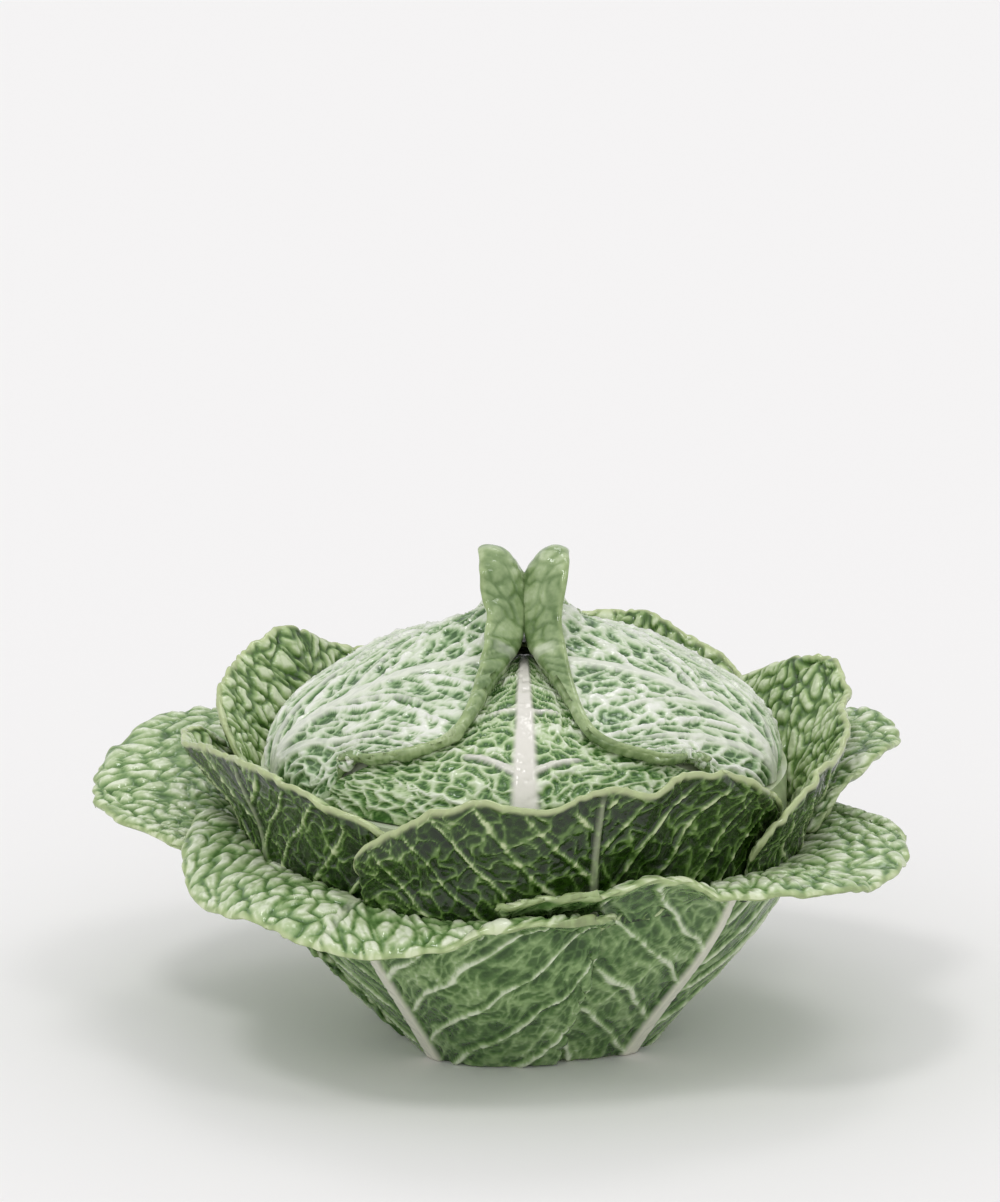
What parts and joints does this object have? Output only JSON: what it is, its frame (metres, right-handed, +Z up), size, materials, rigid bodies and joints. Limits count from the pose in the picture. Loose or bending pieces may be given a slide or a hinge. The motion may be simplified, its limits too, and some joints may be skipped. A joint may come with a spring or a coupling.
{
  "type": "soup tureen",
  "caption": "Lidded earthenware soup tureen shaped as an open green cabbage: spreading leaves round a bowl, a leafy collar and a lift-off lid with a folded-leaf crest.",
  "frame": {"origin": "centre of the foot ring's standing face, on the table", "axes": "+Z up, -Y towards the front, +X to the right when seen from the front; the bowl, mouth and lid are round about Z"},
  "size_m": [0.3757, 0.31, 0.2274],
  "materials": {
    "outer_leaf_glaze": "glossy green glaze, pooled dark in the hollows and thin and pale on the bumps and rims",
    "collar_leaf_glaze": "glossy dark green glaze outside with thin pale veins, paler green inside, pale rims",
    "lid_leaf_glaze": "glossy thin green glaze over cream veins, pooled dark in small pits",
    "plain_glaze": "smooth glossy pale green glaze, with a bare fired foot"
  },
  "bodies": {
    "bowl": {"bowl": "plain_glaze", "outer_leaf_front_left": "outer_leaf_glaze", "outer_leaf_front_right": "outer_leaf_glaze", "outer_leaf_back_right": "outer_leaf_glaze", "outer_leaf_back_left": "outer_leaf_glaze", "collar_leaf_front": "collar_leaf_glaze", "collar_leaf_right": "collar_leaf_glaze", "collar_leaf_back": "collar_leaf_glaze", "collar_leaf_back_left": "collar_leaf_glaze", "collar_leaf_left": "collar_leaf_glaze"},
    "lid": {"lid": "plain_glaze", "lid_leaf_left": "lid_leaf_glaze", "lid_leaf_right": "lid_leaf_glaze", "lid_leaf_front": "lid_leaf_glaze", "lid_leaf_back": "lid_leaf_glaze"}
  },
  "joints": [
    {"name": "lid_lift", "type": "slide", "parent": "bowl", "child": "lid", "axis": [0, 0, 1], "range_m": [0, 0.12]}
  ]
}
